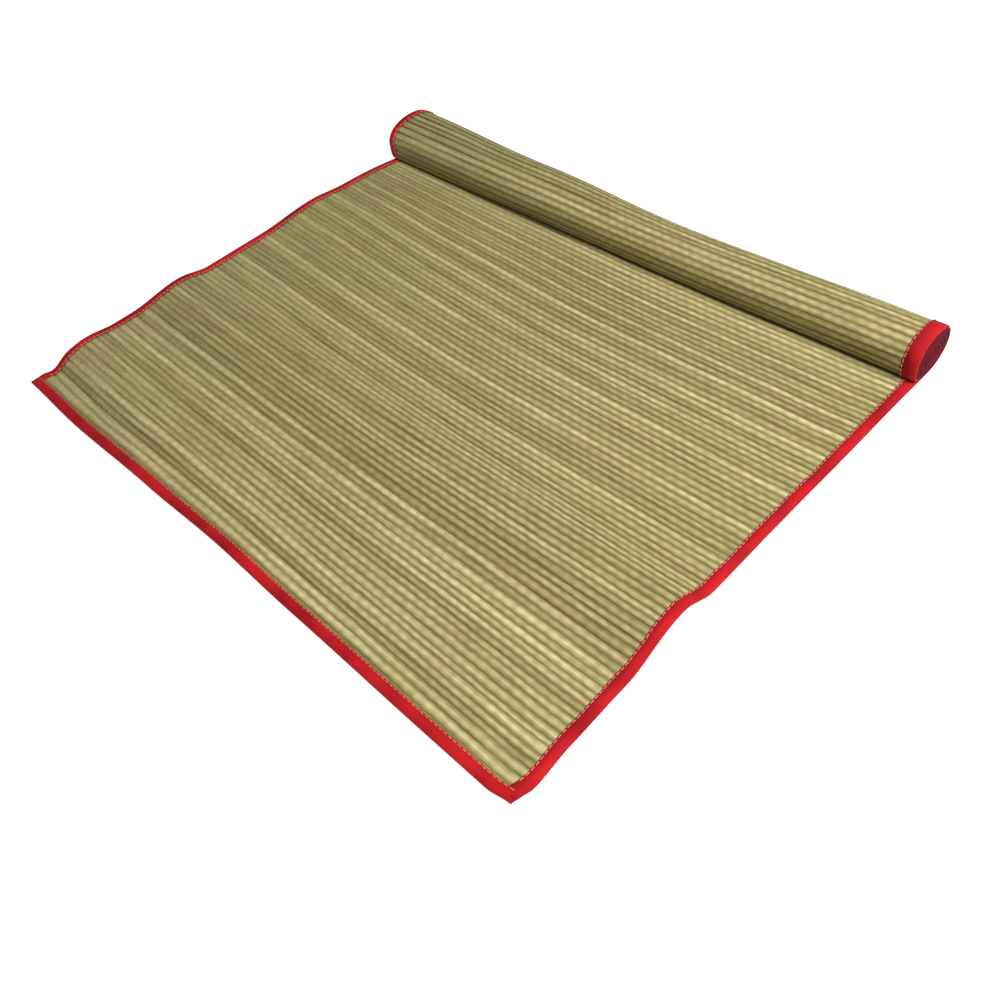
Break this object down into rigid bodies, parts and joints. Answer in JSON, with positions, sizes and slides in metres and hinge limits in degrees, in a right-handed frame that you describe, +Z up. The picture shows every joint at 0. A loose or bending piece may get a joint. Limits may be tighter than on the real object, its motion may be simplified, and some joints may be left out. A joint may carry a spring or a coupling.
{
  "type": "beach mat",
  "caption": "Woven rush beach mat with red folded edge binding, its near part laid out and the rest wound into a loose roll.",
  "frame": {"origin": "middle of the bounding box's base, on the surface that the mat lies on", "axes": "+X along the rushes and the roll, +Y from the near edge towards the roll, +Z up"},
  "size_m": [0.6044, 0.5058, 0.0402],
  "materials": {
    "rush": "dry woven rush",
    "red_tape": "matt woven tape"
  },
  "bodies": {
    "root": {"woven_mat": "rush", "binding_near": "red_tape", "binding_left": "red_tape", "binding_right": "red_tape"}
  },
  "joints": []
}
